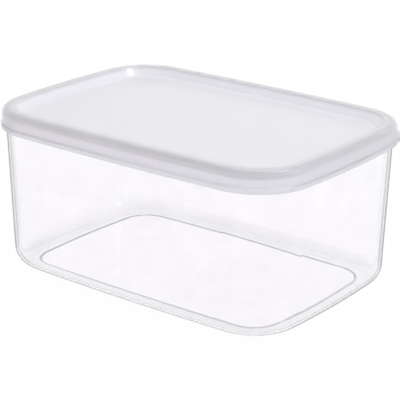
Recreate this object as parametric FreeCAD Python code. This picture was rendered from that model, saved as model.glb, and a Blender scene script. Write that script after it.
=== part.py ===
"""A rectangular food storage box: a thin clear tub and the milky press-on lid that closes it.

Millimetres. X runs along the long side, Y along the short side, Z up. The origin is the middle of
the face that the tub stands on. Both pieces follow one family of outlines, a rounded rectangle
whose four sides bow out a little, so that every seat and clearance is a step inwards or outwards
from the tub's rim.
"""
import FreeCAD, Part
import math
import os

Vec = FreeCAD.Vector
UP = Vec(0, 0, 1)

# ---- tub -------------------------------------------------------------------------------------
RIM_LENGTH = 224.0          # outside of the tub at its rim, along X
RIM_WIDTH = 156.0           # outside of the tub at its rim, along Y
RIM_CORNER_R = 34.0         # outside corner radius at the rim
TUB_HEIGHT = 103.2          # standing face to the rim's top edge
WALL = 1.6                  # side wall, measured level
FLOOR = 1.2                 # floor panel's sheet, whose top runs level to the rounding
DRAFT_INSET = 2.4           # how far each side leans in from the rim to the standing face
BASE_CORNER_R = 35.0        # outside corner radius at the standing face, before its rounding
BASE_ROUND_R = 11.5         # rounding between the sides and the underside
LONG_SIDE_TURN = 2.0        # degrees that a long side turns between its middle and its corner
SHORT_SIDE_TURN = 3.8       # degrees that a short side turns between its middle and its corner
FOOT_WIDTH = 4.4            # flat ring that the tub stands on, inside the rounding
PANEL_RISE = 0.4            # how far the floor panel's underside lies above that ring
PANEL_STEP = 1.2            # width of the sloping step between ring and panel
RIM_EDGE_R = 0.5            # rounding of the rim's two top edges

# ---- lid -------------------------------------------------------------------------------------
LID_FIT = 0.5               # play between the tub's rim and the lid's skirt
LID_SEAT_GAP = 0.3          # play between the rim's top edge and the lid above it
SKIRT_WALL = 1.5            # skirt that hangs outside the tub's rim
LID_SHEET = 1.5             # rim, recess wall and panel of the lid
SKIRT_DEPTH = 13.0          # top of the lid to the bottom of its lip
SHOULDER_R = 4.0            # rounding between the rim's top and the skirt
LIP_OUT = 1.0               # how far the bottom lip stands out from the skirt
LIP_HEIGHT = 3.6            # bottom lip, with the slope above it
LIP_EDGE_R = 0.8            # rounding under the lip
RIM_FLAT = 3.8              # level top of the lid's raised rim
RIM_INNER_R = 1.0           # rounding where the rim turns down into the recess
RECESS_DEPTH = 6.0          # the panel lies this far below the rim
RECESS_RUN = 5.5            # level width of the sloping recess wall
RECESS_FOOT_R = 4.0         # hollow rounding where that wall meets the panel
PANEL_MARGIN = 6.0          # flat part of the panel that belongs to the swept section
FIN_PLAY = 0.3              # play between the sealing fin and the inside of the tub
FIN_WALL = 0.9              # sealing fin under the lid's rim
FIN_DEPTH = 4.0             # how far that fin hangs down
TAB_OUT = 3.0               # thumb tab at one corner, beyond the lip
TAB_WIDTH = 24.0            # thumb tab, measured along the corner
TAB_HEIGHT = 2.6            # thumb tab, from the lip's underside up


class Outline:
    """A rounded rectangle of eight tangent arcs, given by half sizes and corner radius.

    A side that turns by an angle t between its middle and its corner bulges by the corner
    centre's distance times tan(t / 2), which gives two straight equations for the centre.
    """

    def __init__(self, half_x, half_y, corner_r):
        self.half_x = half_x
        self.half_y = half_y
        self.corner_r = corner_r
        bulge_x = math.tan(math.radians(SHORT_SIDE_TURN) / 2)
        bulge_y = math.tan(math.radians(LONG_SIDE_TURN) / 2)
        span_x = half_x - corner_r
        span_y = half_y - corner_r
        self.centre_x = (span_x - bulge_x * span_y) / (1 - bulge_x * bulge_y)
        self.centre_y = (span_y - bulge_y * span_x) / (1 - bulge_x * bulge_y)

    def inset(self, distance):
        """The outline a fixed distance further in, or out if it is negative."""
        return Outline(self.half_x - distance, self.half_y - distance, self.corner_r - distance)

    def arcs(self):
        """The eight arcs, counter-clockwise, as centre x, centre y, radius and two angles."""
        turn_x = SHORT_SIDE_TURN
        turn_y = LONG_SIDE_TURN
        radius_x = self.centre_y / math.sin(math.radians(turn_x)) + self.corner_r
        radius_y = self.centre_x / math.sin(math.radians(turn_y)) + self.corner_r
        side_x = self.half_x - radius_x
        side_y = self.half_y - radius_y
        corner_x = self.centre_x
        corner_y = self.centre_y
        corner_r = self.corner_r
        return [
            (side_x, 0, radius_x, -turn_x, turn_x),
            (corner_x, corner_y, corner_r, turn_x, 90 - turn_y),
            (0, side_y, radius_y, 90 - turn_y, 90 + turn_y),
            (-corner_x, corner_y, corner_r, 90 + turn_y, 180 - turn_x),
            (-side_x, 0, radius_x, 180 - turn_x, 180 + turn_x),
            (-corner_x, -corner_y, corner_r, 180 + turn_x, 270 - turn_y),
            (0, -side_y, radius_y, 270 - turn_y, 270 + turn_y),
            (corner_x, -corner_y, corner_r, 270 + turn_y, 360 - turn_x),
        ]

    def wire(self, z):
        """The outline as a closed wire at one level."""
        edges = []
        for x, y, radius, start, end in self.arcs():
            points = [on_circle(x, y, radius, angle, z) for angle in (start, (start + end) / 2, end)]
            edges.append(Part.Arc(*points).toShape())
        return Part.Wire(edges)


def on_circle(x, y, radius, angle, z):
    """The point at an angle in degrees on a level circle."""
    turn = math.radians(angle)
    return Vec(x + radius * math.cos(turn), y + radius * math.sin(turn), z)


def loft(lower, lower_z, upper, upper_z):
    """A straight-sided solid between two outlines."""
    return Part.makeLoft([lower.wire(lower_z), upper.wire(upper_z)], True, True)


def plate(outline, z, height):
    """A flat solid of one outline."""
    return Part.Face(outline.wire(z)).extrude(UP * height)


def edges_at(shape, z):
    """The edges of a solid that lie wholly at one level."""
    return [edge for edge in shape.Edges
            if abs(edge.BoundBox.ZMin - z) < 1e-3 and abs(edge.BoundBox.ZMax - z) < 1e-3]


def tub_outline(z):
    """The outside of the tub at a height: from base to rim it grows evenly."""
    share = z / TUB_HEIGHT
    lean = DRAFT_INSET * (1 - share)
    corner_r = BASE_CORNER_R + (RIM_CORNER_R - BASE_CORNER_R) * share
    return Outline(RIM_LENGTH / 2 - lean, RIM_WIDTH / 2 - lean, corner_r)


def tub():
    """The clear tub: drafted thin walls, a large rounding below and a foot ring round the panel."""
    base = tub_outline(0)
    outside = loft(base, 0, tub_outline(TUB_HEIGHT), TUB_HEIGHT)
    outside = outside.makeFillet(BASE_ROUND_R, edges_at(outside, 0))

    floor_top = PANEL_RISE + FLOOR
    inside = loft(tub_outline(floor_top).inset(WALL), floor_top,
                  tub_outline(TUB_HEIGHT).inset(WALL), TUB_HEIGHT)
    inside = inside.makeFillet(BASE_ROUND_R - WALL, edges_at(inside, floor_top))

    panel = base.inset(BASE_ROUND_R + FOOT_WIDTH)
    hollow = loft(panel, 0, panel.inset(PANEL_STEP), PANEL_RISE)

    shell = outside.cut(inside).cut(hollow)
    return shell.makeFillet(RIM_EDGE_R, edges_at(shell, TUB_HEIGHT))


def rounded_section(corners):
    """A closed wire in the X-Z plane through (inset, z, radius) corners, rounded by tangent arcs.

    At a corner that turns between two unit directions, an arc of radius r starts and ends
    r / tan(half the inner angle) from the corner, and its middle lies on the bisector.
    """
    edges = []
    stops = []
    count = len(corners)
    for index, (x, z, radius) in enumerate(corners):
        corner = Vec(x, 0, z)
        before = Vec(corners[index - 1][0], 0, corners[index - 1][1])
        after = Vec(corners[(index + 1) % count][0], 0, corners[(index + 1) % count][1])
        if radius == 0:
            stops.append((corner, corner))
            continue
        back = (before - corner).normalize()
        ahead = (after - corner).normalize()
        half_angle = back.getAngle(ahead) / 2
        reach = radius / math.tan(half_angle)
        bisector = (back + ahead).normalize()
        middle = corner + bisector * (radius / math.sin(half_angle) - radius)
        first = corner + back * reach
        last = corner + ahead * reach
        edges.append(Part.Arc(first, middle, last).toShape())
        stops.append((first, last))
    for index in range(count):
        start = stops[index][1]
        end = stops[(index + 1) % count][0]
        edges.append(Part.LineSegment(start, end).toShape())
    return Part.Wire(Part.__sortEdges__(edges))


def swept_ring(outline, section):
    """A section of (inset, z) carried round an outline, one turned piece for each arc."""
    pieces = []
    for x, y, radius, start, end in outline.arcs():
        face = Part.Face(section)
        face.transformShape(FreeCAD.Matrix(-1, 0, 0, radius, 0, 1, 0, 0, 0, 0, 1, 0, 0, 0, 0, 1))
        face.rotate(Vec(0, 0, 0), UP, start)
        face.translate(Vec(x, y, 0))
        pieces.append(face.revolve(Vec(x, y, 0), UP, end - start))
    return pieces


def lid_outline():
    """The outside of the lid's lip, which the tub's rim, the play and the skirt set."""
    return tub_outline(TUB_HEIGHT).inset(-(LID_FIT + SKIRT_WALL + LIP_OUT))


def lid_section():
    """The lid's section from lip to panel, as (inset from the lip, z, rounding) corners."""
    top = TUB_HEIGHT + LID_SEAT_GAP + LID_SHEET
    bottom = top - SKIRT_DEPTH
    under_rim = top - LID_SHEET
    panel_top = top - RECESS_DEPTH
    skirt_in = LIP_OUT + SKIRT_WALL
    rim_edge = LIP_OUT + SHOULDER_R + RIM_FLAT
    foot = rim_edge + RECESS_RUN
    inner = foot + PANEL_MARGIN
    slope = math.atan2(RECESS_DEPTH, RECESS_RUN)
    shift = LID_SHEET * math.tan(slope / 2)
    fin_out = skirt_in + LID_FIT + WALL + FIN_PLAY
    fin_in = fin_out + FIN_WALL
    return rounded_section([
        (0, bottom, LIP_EDGE_R),
        (0, bottom + LIP_HEIGHT - LIP_OUT, 0),
        (LIP_OUT, bottom + LIP_HEIGHT, 0),
        (LIP_OUT, top, SHOULDER_R),
        (rim_edge, top, RIM_INNER_R),
        (foot, panel_top, RECESS_FOOT_R),
        (inner, panel_top, 0),
        (inner, panel_top - LID_SHEET, 0),
        (foot - shift, panel_top - LID_SHEET, RECESS_FOOT_R + LID_SHEET),
        (rim_edge - shift, under_rim, 0),
        (fin_in, under_rim, 0),
        (fin_in, under_rim - FIN_DEPTH, 0),
        (fin_out, under_rim - FIN_DEPTH, 0),
        (fin_out, under_rim, 0),
        (skirt_in, under_rim, 0),
        (skirt_in, bottom, 0),
    ])


def thumb_tab(outline, z):
    """A low crescent beyond the lip at the +X +Y corner: a larger circle round a nearer centre.

    The crescent's circle meets the lip's corner circle at both ends of the tab's width and
    stands out by the tab's reach in the middle, which sets its radius and centre.
    """
    lip_r = outline.corner_r
    half_width = TAB_WIDTH / 2
    chord = math.sqrt(lip_r ** 2 - half_width ** 2)
    rise = lip_r + TAB_OUT - chord
    tab_r = (half_width ** 2 + rise ** 2) / (2 * rise)
    away = (lip_r + TAB_OUT - tab_r) / math.sqrt(2)
    disc = Part.makeCylinder(tab_r, TAB_HEIGHT, Vec(outline.centre_x + away, outline.centre_y + away, z))
    core = Part.makeCylinder(lip_r - LIP_EDGE_R, TAB_HEIGHT, Vec(outline.centre_x, outline.centre_y, z))
    return disc.cut(core)


def lid():
    """The milky lid: swept rim, recess wall and skirt, a flat panel and one thumb tab."""
    outline = lid_outline()
    panel_top = TUB_HEIGHT + LID_SEAT_GAP + LID_SHEET - RECESS_DEPTH
    inner = LIP_OUT + SHOULDER_R + RIM_FLAT + RECESS_RUN + PANEL_MARGIN
    panel = plate(outline.inset(inner), panel_top - LID_SHEET, LID_SHEET)
    lip_bottom = TUB_HEIGHT + LID_SEAT_GAP + LID_SHEET - SKIRT_DEPTH
    tab = thumb_tab(outline, lip_bottom)
    pieces = swept_ring(outline, lid_section())
    return panel.multiFuse(pieces + [tab]).removeSplitter()


def main():
    """Write one STEP file for each piece."""
    os.makedirs("parts", exist_ok=True)
    for name, shape in (("tub", tub()), ("lid", lid())):
        shape = shape.Solids[0]
        shape.exportStep(f"parts/{name}.step")
        box = shape.optimalBoundingBox()
        print(name, "valid", shape.isValid(), "volume", round(shape.Volume), "box",
              [round(value, 2) for value in (box.XMin, box.YMin, box.ZMin, box.XMax, box.YMax, box.ZMax)])


main()
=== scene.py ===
"""Dresses a rectangular food storage box: a thin clear tub closed by a milky press-on lid.

Everything is in metres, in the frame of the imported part: X along the long side, Y along the short
side, Z up, the origin in the middle of the standing face. Both pieces are one section, a path of
straight runs and arcs, carried round a rounded rectangle whose four sides bow out a little.
"""

import logging
import math
from dataclasses import dataclass
from enum import Enum

import bpy
import numpy as np
from mathutils import Matrix, Vector

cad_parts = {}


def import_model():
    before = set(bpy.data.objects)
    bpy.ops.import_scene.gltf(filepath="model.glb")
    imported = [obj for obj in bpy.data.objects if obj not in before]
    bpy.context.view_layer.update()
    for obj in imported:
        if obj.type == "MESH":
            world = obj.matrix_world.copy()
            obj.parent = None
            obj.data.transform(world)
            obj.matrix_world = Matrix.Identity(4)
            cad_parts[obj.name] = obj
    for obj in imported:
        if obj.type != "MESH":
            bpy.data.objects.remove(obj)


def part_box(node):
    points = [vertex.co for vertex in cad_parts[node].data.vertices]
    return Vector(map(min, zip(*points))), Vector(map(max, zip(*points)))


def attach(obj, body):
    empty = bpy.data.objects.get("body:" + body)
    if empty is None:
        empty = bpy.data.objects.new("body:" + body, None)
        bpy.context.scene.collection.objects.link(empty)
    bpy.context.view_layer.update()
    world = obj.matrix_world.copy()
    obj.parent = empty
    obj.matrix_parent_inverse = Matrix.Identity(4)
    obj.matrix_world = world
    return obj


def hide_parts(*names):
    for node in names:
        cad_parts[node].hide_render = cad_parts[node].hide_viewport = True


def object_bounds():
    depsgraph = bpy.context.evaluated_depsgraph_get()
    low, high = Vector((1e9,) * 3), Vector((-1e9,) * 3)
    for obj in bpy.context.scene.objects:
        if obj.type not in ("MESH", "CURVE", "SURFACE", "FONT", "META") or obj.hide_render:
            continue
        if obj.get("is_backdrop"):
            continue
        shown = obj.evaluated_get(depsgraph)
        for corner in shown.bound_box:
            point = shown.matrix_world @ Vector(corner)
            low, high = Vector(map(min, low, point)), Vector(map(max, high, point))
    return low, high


MM = 0.001
FINENESS = 0.003 * MM
SIDE_STEPS = 24
CORNER_STEPS = 64
SHARP_ANGLE = math.radians(35)
# The mesh attribute with each point's milkiness and painted shade level.
HAZE_AND_SHADE_ATTRIBUTE = "haze_and_shade"
MIX_FIRST, MIX_SECOND, MIX_RESULT = 6, 7, 2  # a Mix node's colour sockets share their names
LOG = logging.getLogger("food_box")

Colour = tuple[float, float, float]
Opaque = tuple[float, float, float, float]
WHITE: Colour = (1.0, 1.0, 1.0)


class HazeAndShade(Enum):
    """From 0 to 1: painted shade on the tub's base; milkiness with painted light and shade on the
    lid.
    """

    CLEAR = 0.0
    # Painted shade on the tub: a faint grey over the foot ring, and a grey line at the floor step.
    FOOT_RING = 0.07
    FLOOR_LINE = 0.5
    # The lid's bands: milkiness, set band by band so that it also paints each band's light and
    # shade.
    SHOULDER = 0.2
    RIM = 0.35
    PANEL = 0.6
    RECESS_FOOT = 0.8
    RECESS_WALL = 0.85


class Ray(Enum):
    """The kinds of ray that see the plain white surroundings."""

    CAMERA = "Is Camera Ray"
    GLOSSY = "Is Glossy Ray"
    TRANSMISSION = "Is Transmission Ray"


def opaque(colour: Colour) -> Opaque:
    """A colour with full alpha, as sockets take it."""
    return (*colour, 1.0)


class Value:
    """One output of a shader node; arithmetic on it adds Math nodes."""

    def __init__(self, sheet: "Sheet", socket: bpy.types.NodeSocket) -> None:
        """Keeps the sheet that the socket is on, for the nodes to come."""
        self.sheet = sheet
        self.socket = socket

    def _math(self, operation: str, *operands: "Value | float") -> "Value":
        """Adds one Math node over the operands."""
        inputs = dict(enumerate(operands))
        return self.sheet.node("ShaderNodeMath", {"operation": operation}, inputs)

    def __sub__(self, other: "Value | float") -> "Value":
        """This less the other."""
        return self._math("SUBTRACT", self, other)

    def __rsub__(self, other: "Value | float") -> "Value":
        """The other less this."""
        return self._math("SUBTRACT", other, self)

    def __mul__(self, other: "Value | float") -> "Value":
        """This times the other."""
        return self._math("MULTIPLY", self, other)

    __rmul__ = __mul__

    def __pow__(self, power: float) -> "Value":
        """This raised to a power."""
        return self._math("POWER", self, power)

    def __abs__(self) -> "Value":
        """This without its sign."""
        return self._math("ABSOLUTE", self)

    def larger(self, other: "Value | float") -> "Value":
        """The larger of this and the other."""
        return self._math("MAXIMUM", self, other)

    def between(self, low: float, high: float) -> "Value":
        """How far this has come from low to high, eased, from 0 to 1."""
        inputs = {"Value": self, "From Min": low, "From Max": high}
        return self.sheet.node("ShaderNodeMapRange", {"interpolation_type": "SMOOTHSTEP"}, inputs)


class Sheet:
    """The nodes of one material or of the world."""

    def __init__(self, owner: bpy.types.Material | bpy.types.World) -> None:
        """Clears the owner's node tree.

        Args:
            owner: the material or world that the nodes belong to.
        """
        owner.use_nodes = True
        self.tree = owner.node_tree
        self.tree.nodes.clear()

    def node(self, kind: str, settings: dict[str, object] | None = None,
             inputs: dict[str | int, object] | None = None, output: str | int = 0) -> Value:
        """Adds one node.

        Args:
            kind: the node's type.
            settings: its own properties, which are set before its sockets.
            inputs: values or links, by socket name or number.
            output: the output to hand back.

        Returns:
            That output, ready for arithmetic.
        """
        made = self.tree.nodes.new(kind)
        for name, value in (settings or {}).items():
            setattr(made, name, value)
        for name, value in (inputs or {}).items():
            if isinstance(value, Value):
                self.tree.links.new(value.socket, made.inputs[name])
            else:
                made.inputs[name].default_value = value
        return Value(self, made.outputs[output])

    def noise(self, scale: float, detail: float) -> Value:
        """Adds soft noise.

        Args:
            scale: waves per metre.
            detail: how many finer layers are added.

        Returns:
            The noise, from 0 to 1.
        """
        place = self.node("ShaderNodeTexCoord", output="Object")
        inputs = {"Vector": place, "Scale": scale, "Detail": detail}
        return self.node("ShaderNodeTexNoise", {}, inputs)

    def level(self) -> Value:
        """How level the surface is, from 0 on an upright wall to 1 on a flat face."""
        normal = self.node("ShaderNodeTexCoord", output="Normal")
        return abs(self.node("ShaderNodeSeparateXYZ", {}, {"Vector": normal}, "Z"))

    def haze_and_shade(self) -> Value:
        """The milkiness and painted shade level that the mesh holds at its points."""
        return self.node("ShaderNodeAttribute", {"attribute_name": HAZE_AND_SHADE_ATTRIBUTE}, output="Fac")

    def seen(self) -> Value:
        """Tells the rays that look at the surroundings from the light itself.

        Returns:
            One for such a ray, nought for any other.
        """
        share, *others = [self.node("ShaderNodeLightPath", output=ray.value) for ray in Ray]
        for other in others:
            share = share.larger(other)
        return share

    def mix(self, share: Value, first: Colour, second: Colour) -> Value:
        """A colour between two, by a share from 0 to 1."""
        inputs = {"Factor": share, MIX_FIRST: opaque(first), MIX_SECOND: opaque(second)}
        return self.node("ShaderNodeMix", {"data_type": "RGBA"}, inputs, MIX_RESULT)

    def glow(self, kind: str, colour: Colour, strength: float) -> Value:
        """An emission or a background of one strength."""
        return self.node(kind, {}, {"Color": opaque(colour), "Strength": strength})

    def plastic(self, colour: Value | Opaque, roughness: float, ior: float,
                others: dict[str, float] | None = None) -> Value:
        """A Principled shader, with values for any other sockets by their names."""
        inputs = {"Base Color": colour, "Roughness": roughness, "IOR": ior, **(others or {})}
        return self.node("ShaderNodeBsdfPrincipled", {}, inputs)

    def mix_shaders(self, share: Value | float, first: Value, second: Value) -> Value:
        """A shader between two, by a share from 0 to 1."""
        return self.node("ShaderNodeMixShader", {}, {0: share, 1: first, 2: second})

    def finish(self, surface: Value, kind: str = "ShaderNodeOutputMaterial") -> None:
        """Links the last shader to the output."""
        out = self.tree.nodes.new(kind)
        self.tree.links.new(surface.socket, out.inputs["Surface"])


@dataclass(frozen=True)
class ClearPlastic:
    """Clear thin-walled plastic, with grey painted shade by its level and a painted dark edge."""

    ior: float = 1.49
    roughness: float = 0.02
    tint: Colour = (0.99, 0.98, 0.997)
    veiled: Colour = (0.97, 0.96, 0.98)
    veil_scale: float = 60.0
    veil_detail: float = 2.0
    veil_from: float = 0.3
    veil_to: float = 0.7
    # This grey is painted shade near the base and at the floor step.
    base_shade: Colour = (0.66, 0.66, 0.74)
    base_shade_roughness: float = 0.4
    # The edge colour is a painted dark edge: shade and dark reflections where a wall is seen edge
    # on.
    edge: Colour = (0.07, 0.07, 0.13)
    edge_roughness: float = 0.3
    edge_from: float = 0.68
    edge_to: float = 0.92
    edge_shade_share: float = 0.95
    level_power: float = 5.0

    def material(self) -> bpy.types.Material:
        """Mixes clear plastic with grey painted shade by its level, and both with a painted dark
        edge.

        The painted dark edge stands in for shade and dark reflections at a grazing view. It grows
        as the surface turns away from the eye. It fades on level faces, by one less a power of how
        level they are.

        Returns:
            The finished material.
        """
        made = bpy.data.materials.new("clear_plastic")
        sheet = Sheet(made)
        veil = sheet.noise(self.veil_scale, self.veil_detail).between(self.veil_from, self.veil_to)
        tint = sheet.mix(veil, self.tint, self.veiled)
        body = sheet.plastic(tint, self.roughness, self.ior, {"Transmission Weight": 1.0})
        # Painted shade: a grey plastic mixed in near the base and at the floor step.
        base_shade = sheet.plastic(opaque(self.base_shade), self.base_shade_roughness, self.ior)
        # Painted dark edge, standing for shade and dark reflections at a grazing view.
        edge = sheet.plastic(opaque(self.edge), self.edge_roughness, self.ior)
        facing = sheet.node("ShaderNodeLayerWeight", output="Facing")
        upright = 1 - sheet.level() ** self.level_power
        share = facing.between(self.edge_from, self.edge_to) * upright * self.edge_shade_share
        body_and_shade = sheet.mix_shaders(sheet.haze_and_shade(), body, base_shade)
        sheet.finish(sheet.mix_shaders(share, body_and_shade, edge))
        return made


@dataclass(frozen=True)
class MilkyPlastic:
    """Soft translucent plastic with a cool cast, milkier by a level that also paints light and
    shade.
    """

    ior: float = 1.5
    roughness: float = 0.3
    body: Colour = (0.956, 0.95, 1.0)
    clear: float = 0.7
    milk: Colour = (0.894, 0.886, 0.94)
    gloss: float = 0.6
    gloss_roughness: float = 0.04
    cloud_scale: float = 25.0
    cloud_detail: float = 3.0
    cloud_from: float = 0.35
    cloud_to: float = 0.75
    cloud_share: float = 0.03

    def material(self) -> bpy.types.Material:
        """Mixes translucent plastic with milky by its milkiness and painted shade level, less a
        faint cloud.

        Returns:
            The finished material.
        """
        made = bpy.data.materials.new("milky_plastic")
        sheet = Sheet(made)
        noise = sheet.noise(self.cloud_scale, self.cloud_detail)
        cloud = noise.between(self.cloud_from, self.cloud_to) * self.cloud_share
        coat = {"Coat Weight": self.gloss, "Coat Roughness": self.gloss_roughness}
        body = sheet.plastic(opaque(self.body), self.roughness, self.ior,
                             {"Transmission Weight": self.clear, **coat})
        milk = sheet.plastic(opaque(self.milk), self.roughness, self.ior, coat)
        # Painted light and shade: the milkiness level is set band by band for each band's tone.
        sheet.finish(sheet.mix_shaders(sheet.haze_and_shade() - cloud, body, milk))
        return made


@dataclass(frozen=True)
class Outline:
    """A rounded rectangle of eight tangent arcs, given by half sizes and corner radius.

    A side that turns by an angle t between its middle and its corner bulges by the corner
    centre's distance times tan(t / 2), which gives two straight equations for the centre.
    """

    half_x: float
    half_y: float
    corner_r: float
    long_turn: float = math.radians(2.0)
    short_turn: float = math.radians(3.8)

    def centre(self) -> tuple[float, float]:
        """Solves the two equations for the centre of the +X +Y corner's arc.

        Returns:
            The centre's x and y.
        """
        bulge_x = math.tan(self.short_turn / 2)
        bulge_y = math.tan(self.long_turn / 2)
        span_x = self.half_x - self.corner_r
        span_y = self.half_y - self.corner_r
        share = 1 - bulge_x * bulge_y
        return (span_x - bulge_x * span_y) / share, (span_y - bulge_y * span_x) / share

    def arcs(self) -> np.ndarray:
        """Lists the eight arcs, counter-clockwise from the one across +X.

        Returns:
            One row for each arc: centre x, centre y and radius.
        """
        corner_x, corner_y = self.centre()
        radius_x = corner_y / math.sin(self.short_turn) + self.corner_r
        radius_y = corner_x / math.sin(self.long_turn) + self.corner_r
        side_x = self.half_x - radius_x
        side_y = self.half_y - radius_y
        r = self.corner_r
        return np.array([
            (side_x, 0, radius_x), (corner_x, corner_y, r), (0, side_y, radius_y),
            (-corner_x, corner_y, r), (-side_x, 0, radius_x), (-corner_x, -corner_y, r),
            (0, -side_y, radius_y), (corner_x, -corner_y, r)])


@dataclass(frozen=True)
class Walk:
    """Where the samples of an outline lie: the arc that each is on, and its angle."""

    arc: np.ndarray
    angle: np.ndarray

    @classmethod
    def round(cls, outline: Outline) -> "Walk":
        """Samples once round an outline, each arc evenly divided.

        Args:
            outline: any outline of its family, because all of them turn alike.

        Returns:
            The walk, which doesn't repeat its first sample.
        """
        arc: list[np.ndarray] = []
        angle: list[np.ndarray] = []
        turns = (outline.short_turn, outline.long_turn)
        for quarter in range(4):
            middle = quarter * math.pi / 2
            own, following = turns[quarter % 2], turns[1 - quarter % 2]
            end, start = middle + own, middle + math.pi / 2 - following
            arc.append(np.full(SIDE_STEPS, 2 * quarter))
            angle.append(np.linspace(middle - own, end, SIDE_STEPS, endpoint=False))
            arc.append(np.full(CORNER_STEPS, 2 * quarter + 1))
            angle.append(np.linspace(end, start, CORNER_STEPS, endpoint=False))
        return cls(np.concatenate(arc), np.concatenate(angle))


@dataclass(frozen=True)
class Corner:
    """One corner of a section: its inset from the outline, its height and its rounding.

    A rounded corner without a haze and shade level fades evenly between its neighbours' levels.
    Held is how much of a tab's reach the corner gives up; most corners take no part in a tab.
    """

    inset: float
    z: float
    radius: float = 0.0
    haze_and_shade: HazeAndShade | None = HazeAndShade.CLEAR
    held: float = math.inf


def unit(vector: np.ndarray) -> np.ndarray:
    """The vector at length one."""
    return vector / np.linalg.norm(vector)


@dataclass(frozen=True)
class Section:
    """A sampled section, as one row for each point."""

    inset: np.ndarray
    z: np.ndarray
    haze_and_shade: np.ndarray
    held: np.ndarray

    @classmethod
    def through(cls, corners: list[Corner]) -> "Section":
        """Walks through corners, with a tangent arc at each rounded one.

        The arc's centre lies on the bisector, at the radius over the sine of half the inner
        angle, and its points turn evenly from square off the first side to square off the
        second. A step's angle is twice the arc cosine of one less the fineness over the
        radius, so that no chord leaves its arc by more than the fineness.

        Args:
            corners: the corners in order, the first and the last unrounded ends.

        Returns:
            The section, whose points give up as much of a tab as their own corner does.
        """
        points = np.array([(corner.inset, corner.z) for corner in corners])
        runs = [points[:1]]
        haze_and_shade_runs = [np.full(1, corners[0].haze_and_shade.value)]
        for place, corner in enumerate(corners[1:-1], 1):
            before, point, after = points[place - 1:place + 2]
            if corner.radius == 0:
                runs.append(point[None])
                haze_and_shade_runs.append(np.full(1, corner.haze_and_shade.value))
                continue
            back, ahead = unit(before - point), unit(after - point)
            half_angle = math.acos(float(back @ ahead)) / 2
            middle = point + unit(back + ahead) * corner.radius / math.sin(half_angle)
            run = corner.radius / math.tan(half_angle)
            first, last = point + back * run - middle, point + ahead * run - middle
            turn = math.pi - 2 * half_angle
            steps = math.ceil(turn / (2 * math.acos(1 - FINENESS / corner.radius)))
            share = np.linspace(0, 1, steps + 1)[:, None]
            swept = np.sin((1 - share) * turn) * first + np.sin(share * turn) * last
            runs.append(middle + swept / math.sin(turn))
            ends = (corner, corner)
            if corner.haze_and_shade is None:
                ends = (corners[place - 1], corners[place + 1])
            haze_and_shade_runs.append(np.linspace(*(end.haze_and_shade.value for end in ends), steps + 1))
        runs.append(points[-1:])
        haze_and_shade_runs.append(np.full(1, corners[-1].haze_and_shade.value))
        inset, z = np.concatenate(runs).T
        held = np.repeat([corner.held for corner in corners], [len(run) for run in runs])
        return cls(inset, z, np.concatenate(haze_and_shade_runs), held)


@dataclass(frozen=True)
class Grown:
    """An outline that changes evenly with height, as a drafted wall's does."""

    base: Outline
    rim: Outline
    height: float

    def carry(self, section: Section, walk: Walk, tab: np.ndarray | float = 0.0) -> np.ndarray:
        """Carries a section round the outline.

        A point is its arc's centre at its height, plus the arc's radius less the point's inset,
        in the direction of the walk's angle. A tab adds its reach, less what the point gives up.

        Args:
            section: the section to carry.
            walk: where round the outline it is placed.
            tab: a tab's reach at each sample of the walk.

        Returns:
            The points, by section row and walk sample.
        """
        z = section.z[:, None]
        base, rim = self.base.arcs(), self.rim.arcs()
        arcs = base + (z / self.height)[:, :, None] * (rim - base)
        centre_x, centre_y, radius = np.moveaxis(arcs[:, walk.arc], 2, 0)
        reach = radius - section.inset[:, None] + np.maximum(tab - section.held[:, None], 0)
        x = centre_x + reach * np.cos(walk.angle)
        y = centre_y + reach * np.sin(walk.angle)
        return np.stack([x, y, np.broadcast_to(z, reach.shape)], axis=2)


def closed_piece(name: str, points: np.ndarray, haze_and_shade: np.ndarray) -> bpy.types.Object:
    """Makes a mesh of a carried section, closed by a flat cap at each of its two ends.

    Args:
        name: the piece's name.
        points: places by section row and walk sample.
        haze_and_shade: the milkiness and painted shade level of each section row, which the finish
            reads.

    Returns:
        The new object, at the origin, shaded smooth between its sharp edges.
    """
    rows, columns = points.shape[:2]
    index = np.arange(rows * columns).reshape(rows, columns)
    beside = np.roll(index, -1, axis=1)
    quads = np.stack([index[:-1], beside[:-1], beside[1:], index[1:]], axis=2).reshape(-1, 4)
    caps = [index[0][::-1].tolist(), index[-1].tolist()]
    mesh = bpy.data.meshes.new(name)
    mesh.from_pydata(points.reshape(-1, 3), [], quads.tolist() + caps)
    mesh.polygons.foreach_set("use_smooth", np.ones(len(mesh.polygons), bool))
    mesh.set_sharp_from_angle(angle=SHARP_ANGLE)
    stored = mesh.attributes.new(HAZE_AND_SHADE_ATTRIBUTE, "FLOAT", "POINT")
    stored.data.foreach_set("value", np.repeat(haze_and_shade, columns))
    mesh.update()
    made = bpy.data.objects.new(name, mesh)
    bpy.context.scene.collection.objects.link(made)
    even = made.modifiers.new("even_shading", "WEIGHTED_NORMAL")
    even.keep_sharp = True
    return made


def dress(piece: bpy.types.Object, material: bpy.types.Material, node: str) -> None:
    """Gives a piece its finish and its place in the frame.

    Args:
        piece: the finished mesh.
        material: its finish.
        node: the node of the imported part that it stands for.
    """
    piece.data.materials.append(material)
    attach(piece, "root")
    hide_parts(node)
    LOG.info("%s: %d vertices, in place of %s", piece.name, len(piece.data.vertices), node)


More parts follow.
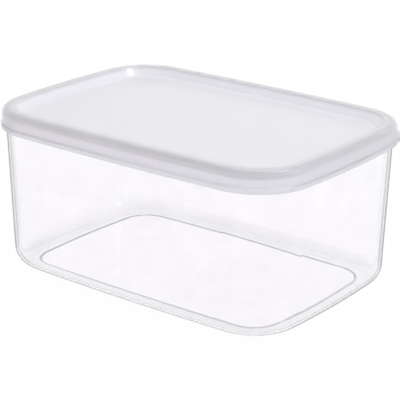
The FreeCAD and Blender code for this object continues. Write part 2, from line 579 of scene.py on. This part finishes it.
@dataclass
class Tub:
    """The clear tub: drafted thin walls, a large rounding below, a foot ring round the panel."""

    rim: Outline
    height: float
    wall: float = 1.6 * MM
    floor: float = 1.2 * MM
    lean: float = 2.4 * MM  # how far the rim stands out over the base
    base_corner_r: float = 35 * MM
    base_round: float = 11.5 * MM
    foot: float = 4.4 * MM  # the width of the flat ring that it stands on
    rise: float = 0.4 * MM  # how far the panel's underside lies above that ring
    step: float = 1.2 * MM  # the width of the slope between them
    edge: float = 0.5 * MM
    soft: float = 1.0 * MM  # the rounding of that slope's corners
    margin: float = 0.6 * MM  # the flat run over which the painted shade beside the slope fades

    @classmethod
    def from_frame(cls, rim_corner_r: float = 34 * MM) -> "Tub":
        """Takes the rim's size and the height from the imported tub's box."""
        low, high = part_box("tub")
        return cls(Outline((high.x - low.x) / 2, (high.y - low.y) / 2, rim_corner_r), high.z)

    def section(self) -> Section:
        """Draws the wall and the floor in section.

        Returns:
            The path from the panel's underside out round the wall, over the rim and in again.
        """
        foot_in = self.base_round + self.foot
        panel_in = foot_in + self.step
        deep = panel_in + self.margin
        floor_top = self.rise + self.floor
        return Section.through([
            Corner(deep, self.rise),
            # Painted shade: a grey line round the floor step, and a faint grey on the foot ring
            # that fades up the base rounding.
            Corner(panel_in, self.rise, self.soft, HazeAndShade.FLOOR_LINE),
            Corner(foot_in, 0, self.soft, HazeAndShade.FLOOR_LINE),
            Corner(foot_in - self.margin, 0, haze_and_shade=HazeAndShade.FOOT_RING),
            Corner(0, 0, self.base_round, None),
            Corner(0, self.height, self.edge),
            Corner(self.wall, self.height, self.edge),
            Corner(self.wall, floor_top, self.base_round - self.wall, None),
            Corner(foot_in - self.margin, floor_top, haze_and_shade=HazeAndShade.FOOT_RING),
            Corner(panel_in, floor_top),
            Corner(deep, floor_top),
        ])

    def build(self) -> bpy.types.Object:
        """Carries the section round the outline, which grows from the base to the rim.

        Returns:
            The tub's mesh.
        """
        base_x, base_y = self.rim.half_x - self.lean, self.rim.half_y - self.lean
        family = Grown(Outline(base_x, base_y, self.base_corner_r), self.rim, self.height)
        section = self.section()
        return closed_piece("clear_tub", family.carry(section, Walk.round(self.rim)), section.haze_and_shade)

    def make(self, finish: ClearPlastic) -> None:
        """Builds and dresses the tub."""
        dress(self.build(), finish.material(), "tub")


@dataclass
class Lid:
    """The milky lid: flared lip, skirt, rounded shoulder, flat rim and recessed panel."""

    lip: Outline
    bottom: float
    top: float
    lip_out: float = 1.0 * MM  # how far the lip stands out of the skirt
    lip_height: float = 3.6 * MM
    lip_edge: float = 0.8 * MM
    skirt: float = 1.5 * MM
    sheet: float = 1.5 * MM
    shoulder: float = 4.0 * MM
    rim_flat: float = 3.8 * MM
    rim_inner: float = 1.0 * MM
    recess: float = 6.0 * MM  # how deep the panel lies
    recess_run: float = 5.5 * MM  # how far in its wall slopes on the way down
    recess_middle: float = 0.4  # how far down that wall the milkiness and painted light peak, as a share
    recess_foot: float = 4.0 * MM
    margin: float = 6.0 * MM  # the flat run over which the panel's milkiness and painted shade settle
    fin_from_skirt: float = 2.4 * MM
    fin: float = 0.9 * MM
    fin_depth: float = 4.0 * MM
    soft: float = 0.2 * MM  # the rounding of hidden and small corners
    tab_out: float = 3.0 * MM
    tab_width: float = 24.0 * MM
    tab_height: float = 2.5 * MM
    tab_edge: float = 0.5 * MM
    tab_edge_steps: int = 5
    tab_arc: int = 1  # the arc of the +X +Y corner
    tab_angle: float = math.pi / 4  # the middle of that corner

    @classmethod
    def from_frame(cls, lip_corner_r: float = 37 * MM) -> "Lid":
        """Takes the lip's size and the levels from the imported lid's box.

        Args:
            lip_corner_r: the radius of the lip's corners.

        Returns:
            The lid.
        """
        low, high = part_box("lid")
        lip = Outline((high.x - low.x) / 2, (high.y - low.y) / 2, lip_corner_r)
        return cls(lip, low.z, high.z)

    def section(self) -> Section:
        """Draws the panel, the recess wall, the rim and the skirt in section.

        The lip is pushed out by the thumb tab. Round the tab's upper edge each row gives up the
        edge's radius times one less the cosine, so the edge is rounded only where the tab is.

        Returns:
            The path from the panel's underside over the fin, down inside the skirt, round the
            lip, up outside and over the rim to the panel's top.
        """
        under = self.top - self.sheet
        panel = self.top - self.recess
        skirt_in = self.lip_out + self.skirt
        rim_edge = self.lip_out + self.shoulder + self.rim_flat
        foot = rim_edge + self.recess_run
        deep = foot + self.margin
        shift = self.sheet * math.tan(math.atan2(self.recess, self.recess_run) / 2)
        fin_out = skirt_in + self.fin_from_skirt
        fin_in = fin_out + self.fin
        tab_top = self.bottom + self.tab_height - self.tab_edge
        turns = np.linspace(0, math.pi / 2, self.tab_edge_steps + 1)
        tab_edge = [Corner(0, tab_top + self.tab_edge * math.sin(turn),
                           held=self.tab_edge * (1 - math.cos(turn))) for turn in turns]
        # Milkiness levels for each band, set so that they also paint each band's light and shade.
        return Section.through([
            Corner(deep, panel - self.sheet, haze_and_shade=HazeAndShade.PANEL),
            Corner(foot - shift, panel - self.sheet, self.recess_foot + self.sheet,
                   HazeAndShade.RECESS_WALL),
            Corner(rim_edge - shift, under, self.soft, HazeAndShade.RIM),
            Corner(fin_in, under, self.soft),
            Corner(fin_in, under - self.fin_depth, self.soft),
            Corner(fin_out, under - self.fin_depth, self.soft),
            Corner(fin_out, under, self.soft),
            Corner(skirt_in, under, self.soft),
            Corner(skirt_in, self.bottom, self.soft),
            Corner(0, self.bottom, self.lip_edge, held=0),
            *tab_edge,
            Corner(0, self.bottom + self.lip_height - self.lip_out, self.soft),
            Corner(self.lip_out, self.bottom + self.lip_height, self.soft),
            Corner(self.lip_out, self.top, self.shoulder, HazeAndShade.SHOULDER),
            Corner(rim_edge, self.top, self.rim_inner, HazeAndShade.RIM),
            Corner(rim_edge + self.recess_run * self.recess_middle,
                   self.top - self.recess * self.recess_middle, haze_and_shade=HazeAndShade.RECESS_WALL),
            Corner(foot, panel, self.recess_foot, HazeAndShade.RECESS_FOOT),
            Corner(deep, panel, haze_and_shade=HazeAndShade.PANEL),
        ])

    def tab_reach(self, walk: Walk) -> np.ndarray:
        """How far the thumb tab stands out of the lip.

        The tab's edge is a circle round a centre nearer the lip's corner, so its reach is that
        centre's share of the direction plus the circle's half chord there, less the lip's radius.

        Args:
            walk: where round the lip it is asked for.

        Returns:
            The reach at each sample of the walk.
        """
        lip_r = self.lip.corner_r
        half = self.tab_width / 2
        rise = lip_r + self.tab_out - math.sqrt(lip_r ** 2 - half ** 2)
        tab_r = (half ** 2 + rise ** 2) / (2 * rise)
        away = lip_r + self.tab_out - tab_r
        turn = walk.angle - self.tab_angle
        inside = np.maximum(tab_r ** 2 - (away * np.sin(turn)) ** 2, 0)
        reach = away * np.cos(turn) + np.sqrt(inside) - lip_r
        return np.where(walk.arc == self.tab_arc, np.maximum(reach, 0), 0)

    def build(self) -> bpy.types.Object:
        """Carries the section round the lip's outline, which stays the same at every height.

        Returns:
            The lid's mesh.
        """
        walk = Walk.round(self.lip)
        section = self.section()
        points = Grown(self.lip, self.lip, self.top).carry(section, walk, self.tab_reach(walk))
        return closed_piece("milky_lid", points, section.haze_and_shade)

    def make(self, finish: MilkyPlastic) -> None:
        """Builds and dresses the lid."""
        dress(self.build(), finish.material(), "lid")


@dataclass(frozen=True)
class SoftBox:
    """A square soft lamp that faces the food box."""

    name: str
    place: tuple[float, float, float]
    size: float
    power: float
    colour: Colour = WHITE

    def hang(self, target: Vector) -> None:
        """Adds the lamp to the scene.

        Args:
            target: what it faces.
        """
        data = bpy.data.lights.new(self.name, "AREA")
        data.size = self.size
        data.energy = self.power
        data.color = self.colour
        made = bpy.data.objects.new(self.name, data)
        made.location = self.place
        made.rotation_euler = (target - made.location).to_track_quat("-Z", "Y").to_euler()
        bpy.context.scene.collection.objects.link(made)


@dataclass(frozen=True)
class View:
    """A long lens that looks down on the near corner of the food box."""

    azimuth: float = math.radians(37.54)
    elevation: float = math.radians(19.85)
    roll: float = math.radians(0.53)
    distance: float = 0.9388
    right: float = 2.12 * MM
    down: float = 5.6 * MM
    lens: float = 133.6
    sensor: float = 36.0
    clip_start: float = 0.01

    def set_up(self, target: Vector) -> None:
        """Places the camera, which looks a little right of the target and below it.

        Args:
            target: the point that the distance is measured from.
        """
        level = Vector((math.cos(self.azimuth), math.sin(self.azimuth), 0))
        ahead = Vector((-math.sin(self.azimuth), math.cos(self.azimuth), 0))
        forward = ahead * math.cos(self.elevation) - Vector((0, 0, math.sin(self.elevation)))
        upright = level.cross(forward)
        right = level * math.cos(self.roll) + upright * math.sin(self.roll)
        up = upright * math.cos(self.roll) - level * math.sin(self.roll)
        data = bpy.data.cameras.new("camera")
        data.lens = self.lens
        data.sensor_width = self.sensor
        data.clip_start = self.clip_start
        made = bpy.data.objects.new("camera", data)
        place = target - forward * self.distance + right * self.right - up * self.down
        turned = Matrix((right, up, -forward)).transposed().to_4x4()
        made.matrix_world = Matrix.Translation(place) @ turned
        bpy.context.scene.collection.objects.link(made)
        bpy.context.scene.camera = made


@dataclass
class Studio:
    """Plain white surroundings, soft lamps and the camera."""

    target: Vector
    floor_reach: float = 6.0
    floor_grey: float = 0.93
    floor_white: float = 0.98
    ambient: float = 0.85
    lamps: tuple[SoftBox, ...] = (
        SoftBox("top_box", (0.27, 0.30, 1.0), 0.28, 1.6),
        SoftBox("right_box", (0.92, 0.38, 0.62), 0.5, 1.6),
        SoftBox("warm_fill", (-0.6, -0.8, 0.08), 0.8, 0.8, (1.0, 0.55, 0.4)))
    view: View = View()

    def floor(self) -> None:
        """A floor that is plain white to look at, and keeps the box's faint shadow."""
        reach = self.floor_reach
        mesh = bpy.data.meshes.new("floor")
        places = [(-reach, -reach, 0), (reach, -reach, 0), (reach, reach, 0), (-reach, reach, 0)]
        mesh.from_pydata(places, [], [(0, 1, 2, 3)])
        made = bpy.data.objects.new("floor", mesh)
        material = bpy.data.materials.new("floor_white")
        sheet = Sheet(material)
        matt = sheet.node("ShaderNodeBsdfDiffuse", {}, {"Color": opaque((self.floor_grey,) * 3)})
        lit = sheet.glow("ShaderNodeEmission", WHITE, 1.0)
        sheet.finish(sheet.mix_shaders(sheet.seen() * self.floor_white, matt, lit))
        mesh.materials.append(material)
        bpy.context.scene.collection.objects.link(made)
        made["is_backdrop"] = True

    def world(self) -> None:
        """White to look at, and a softer even light on the box."""
        world = bpy.data.worlds.new("studio")
        bpy.context.scene.world = world
        sheet = Sheet(world)
        light = sheet.glow("ShaderNodeBackground", WHITE, self.ambient)
        white = sheet.glow("ShaderNodeBackground", WHITE, 1.0)
        sheet.finish(sheet.mix_shaders(sheet.seen(), light, white), "ShaderNodeOutputWorld")

    def make(self) -> None:
        """Builds the whole studio."""
        self.floor()
        self.world()
        for lamp in self.lamps:
            lamp.hang(self.target)
        self.view.set_up(self.target)
        bpy.context.scene.view_settings.view_transform = "Standard"


def corners(box: tuple[Vector, Vector]) -> list[list[float]]:
    """A box as plain lists."""
    return [list(corner) for corner in box]


def main() -> None:
    """Loads the frame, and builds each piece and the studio."""
    logging.basicConfig(level=logging.INFO, format="%(message)s")
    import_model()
    cad_box = corners(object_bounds())
    Tub.from_frame().make(ClearPlastic())
    Lid.from_frame().make(MilkyPlastic())
    low, high = map(Vector, cad_box)
    Studio(Vector((0, 0, (low.z + high.z) / 2))).make()


if __name__ == "__main__":
    main()
